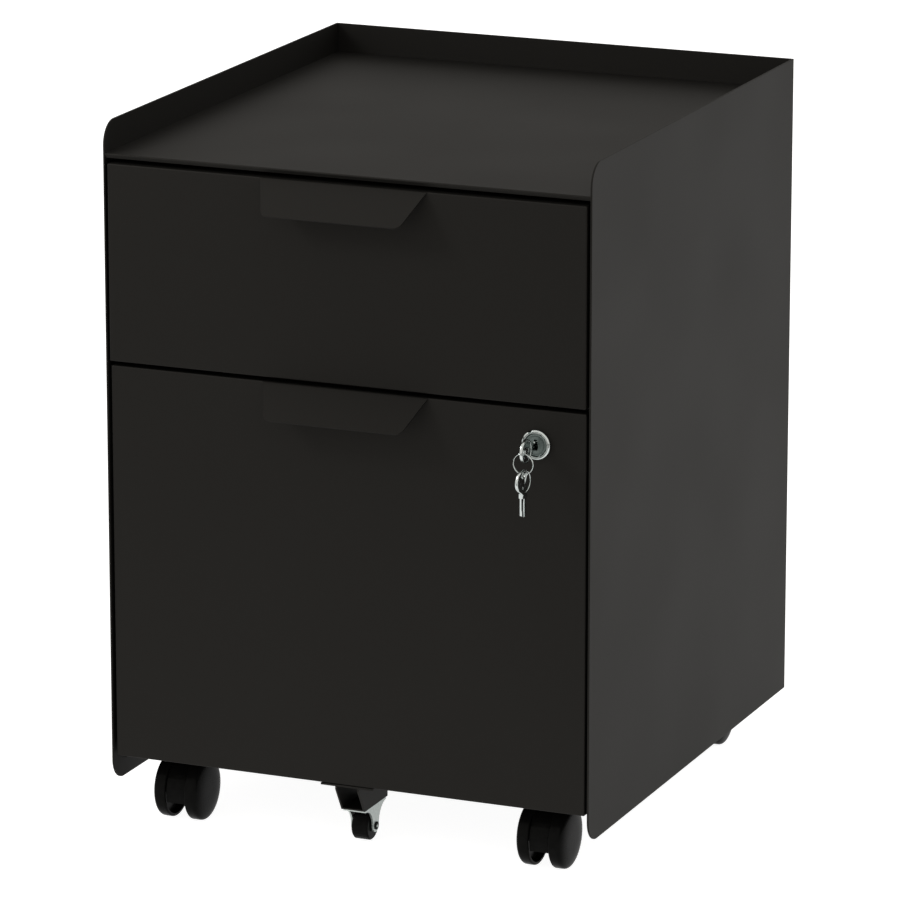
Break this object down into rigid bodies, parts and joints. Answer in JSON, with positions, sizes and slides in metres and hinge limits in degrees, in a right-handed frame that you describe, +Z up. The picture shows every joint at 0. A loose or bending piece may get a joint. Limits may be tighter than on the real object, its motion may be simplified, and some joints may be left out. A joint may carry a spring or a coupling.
{
  "type": "rolling pedestal cabinet",
  "caption": "Dark powder-coated steel pedestal on castors with a shallow tray top, a box drawer over a file drawer, folded pull tabs, a cam lock with keys and an anti-tilt castor.",
  "frame": {"origin": "on the floor under the centre of the whole object's bounding box, keys included", "axes": "+X along the width (to the right seen from the front), +Y from the drawer fronts to the back, +Z up"},
  "size_m": [0.4, 0.4748, 0.56],
  "materials": {
    "powder_coat": "fine matt texture, anthracite",
    "castor_plastic": "moulded, semi-matt black",
    "zinc": "zinc plated",
    "chrome": "polished",
    "lock_disc": "satin"
  },
  "bodies": {
    "case": {"top_panel": "powder_coat", "bottom_panel": "powder_coat", "back_panel": "powder_coat", "left_side_panel": "powder_coat", "right_side_panel": "powder_coat", "left_front_upright": "powder_coat", "left_rear_upright": "powder_coat", "right_front_upright": "powder_coat", "right_rear_upright": "powder_coat", "upper_slide_rail_left": "zinc", "upper_slide_rail_right": "zinc", "lower_slide_rail_left": "zinc", "lower_slide_rail_right": "zinc", "lock_strike": "zinc", "castor_front_left_stem": "zinc", "castor_front_right_stem": "zinc", "castor_rear_left_stem": "zinc", "castor_rear_right_stem": "zinc"},
    "upper_drawer": {"upper_drawer_front": "powder_coat", "upper_drawer_box": "powder_coat", "upper_drawer_catch": "zinc", "upper_slide_runner_left": "zinc", "upper_slide_runner_right": "zinc"},
    "upper_slide_middles": {"upper_slide_middle_left": "zinc", "upper_slide_middle_right": "zinc"},
    "lower_drawer": {"lower_drawer_front": "powder_coat", "lower_drawer_box": "powder_coat", "hanging_file_rail_left": "zinc", "hanging_file_rail_right": "zinc", "lower_slide_runner_left": "zinc", "lower_slide_runner_right": "zinc", "lock_barrel": "chrome", "tilt_castor_bracket": "powder_coat", "tilt_castor_fork": "zinc", "tilt_castor_axle": "zinc"},
    "lower_slide_middles": {"lower_slide_middle_left": "zinc", "lower_slide_middle_right": "zinc"},
    "tilt_wheel": {"tilt_castor_wheel": "castor_plastic"},
    "lock_plug": {"lock_plug": "lock_disc", "lock_cam": "zinc"},
    "lock_bar": {"lock_bar": "zinc"},
    "lock_key": {"lock_key": "chrome"},
    "key_ring": {"key_ring": "chrome"},
    "spare_key": {"spare_key": "chrome"},
    "castor_front_left": {"castor_front_left_hub": "castor_plastic", "castor_front_left_axle": "zinc"},
    "castor_front_left_wheel_left": {"castor_front_left_wheel_left": "castor_plastic"},
    "castor_front_left_wheel_right": {"castor_front_left_wheel_right": "castor_plastic"},
    "castor_front_right": {"castor_front_right_hub": "castor_plastic", "castor_front_right_axle": "zinc"},
    "castor_front_right_wheel_left": {"castor_front_right_wheel_left": "castor_plastic"},
    "castor_front_right_wheel_right": {"castor_front_right_wheel_right": "castor_plastic"},
    "castor_rear_left": {"castor_rear_left_hub": "castor_plastic", "castor_rear_left_axle": "zinc"},
    "castor_rear_left_wheel_left": {"castor_rear_left_wheel_left": "castor_plastic"},
    "castor_rear_left_wheel_right": {"castor_rear_left_wheel_right": "castor_plastic"},
    "castor_rear_right": {"castor_rear_right_hub": "castor_plastic", "castor_rear_right_axle": "zinc"},
    "castor_rear_right_wheel_left": {"castor_rear_right_wheel_left": "castor_plastic"},
    "castor_rear_right_wheel_right": {"castor_rear_right_wheel_right": "castor_plastic"}
  },
  "joints": [
    {"name": "upper_drawer_slide", "type": "slide", "parent": "case", "child": "upper_drawer", "axis": [0, -1, 0], "range_m": [0, 0.36]},
    {"name": "upper_middles_slide", "type": "slide", "parent": "case", "child": "upper_slide_middles", "axis": [0, -1, 0], "range_m": [0, 0.18]},
    {"name": "lower_drawer_slide", "type": "slide", "parent": "case", "child": "lower_drawer", "axis": [0, -1, 0], "range_m": [0, 0.36]},
    {"name": "lower_middles_slide", "type": "slide", "parent": "case", "child": "lower_slide_middles", "axis": [0, -1, 0], "range_m": [0, 0.18]},
    {"name": "tilt_wheel_spin", "type": "hinge", "parent": "lower_drawer", "child": "tilt_wheel", "pos_m": [0, -0.1671, 0.0142], "axis": [1, 0, 0], "continuous": true},
    {"name": "lock_turn", "type": "hinge", "parent": "lower_drawer", "child": "lock_plug", "pos_m": [0.1562, -0.2026, 0.343], "axis": [0, -1, 0], "range_deg": [0, 90]},
    {"name": "lock_bar_lift", "type": "slide", "parent": "case", "child": "lock_bar", "axis": [0, 0, 1], "range_m": [0, 0.0081]},
    {"name": "key_withdraw", "type": "slide", "parent": "lock_plug", "child": "lock_key", "axis": [0, -1, 0], "range_m": [0, 0.012]},
    {"name": "key_ring_swing", "type": "hinge", "parent": "lock_key", "child": "key_ring", "pos_m": [0.1562, -0.2281, 0.34212], "axis": [1, 0, 0], "range_deg": [-60, 15]},
    {"name": "spare_key_swing", "type": "hinge", "parent": "key_ring", "child": "spare_key", "pos_m": [0.1562, -0.2281, 0.32632], "axis": [1, 0, 0], "range_deg": [-20, 10]},
    {"name": "castor_front_left_swivel", "type": "hinge", "parent": "case", "child": "castor_front_left", "pos_m": [-0.1532, -0.1526, 0.05], "axis": [0, 0, 1], "continuous": true},
    {"name": "castor_front_left_wheel_left_spin", "type": "hinge", "parent": "castor_front_left", "child": "castor_front_left_wheel_left", "pos_m": [-0.1532, -0.1646, 0.025], "axis": [1, 0, 0], "continuous": true},
    {"name": "castor_front_left_wheel_right_spin", "type": "hinge", "parent": "castor_front_left", "child": "castor_front_left_wheel_right", "pos_m": [-0.1532, -0.1646, 0.025], "axis": [1, 0, 0], "continuous": true},
    {"name": "castor_front_right_swivel", "type": "hinge", "parent": "case", "child": "castor_front_right", "pos_m": [0.1532, -0.1526, 0.05], "axis": [0, 0, 1], "continuous": true},
    {"name": "castor_front_right_wheel_left_spin", "type": "hinge", "parent": "castor_front_right", "child": "castor_front_right_wheel_left", "pos_m": [0.1532, -0.1646, 0.025], "axis": [1, 0, 0], "continuous": true},
    {"name": "castor_front_right_wheel_right_spin", "type": "hinge", "parent": "castor_front_right", "child": "castor_front_right_wheel_right", "pos_m": [0.1532, -0.1646, 0.025], "axis": [1, 0, 0], "continuous": true},
    {"name": "castor_rear_left_swivel", "type": "hinge", "parent": "case", "child": "castor_rear_left", "pos_m": [-0.1532, 0.1874, 0.05], "axis": [0, 0, 1], "continuous": true},
    {"name": "castor_rear_left_wheel_left_spin", "type": "hinge", "parent": "castor_rear_left", "child": "castor_rear_left_wheel_left", "pos_m": [-0.1532, 0.1754, 0.025], "axis": [1, 0, 0], "continuous": true},
    {"name": "castor_rear_left_wheel_right_spin", "type": "hinge", "parent": "castor_rear_left", "child": "castor_rear_left_wheel_right", "pos_m": [-0.1532, 0.1754, 0.025], "axis": [1, 0, 0], "continuous": true},
    {"name": "castor_rear_right_swivel", "type": "hinge", "parent": "case", "child": "castor_rear_right", "pos_m": [0.1532, 0.1874, 0.05], "axis": [0, 0, 1], "continuous": true},
    {"name": "castor_rear_right_wheel_left_spin", "type": "hinge", "parent": "castor_rear_right", "child": "castor_rear_right_wheel_left", "pos_m": [0.1532, 0.1754, 0.025], "axis": [1, 0, 0], "continuous": true},
    {"name": "castor_rear_right_wheel_right_spin", "type": "hinge", "parent": "castor_rear_right", "child": "castor_rear_right_wheel_right", "pos_m": [0.1532, 0.1754, 0.025], "axis": [1, 0, 0], "continuous": true}
  ],
  "couplings": [
    {"joint": "upper_middles_slide", "follows": "upper_drawer_slide", "ratio": 0.5},
    {"joint": "lower_middles_slide", "follows": "lower_drawer_slide", "ratio": 0.5},
    {"joint": "lock_bar_lift", "follows": "lock_turn", "m_per_rad": 0.005093}
  ]
}
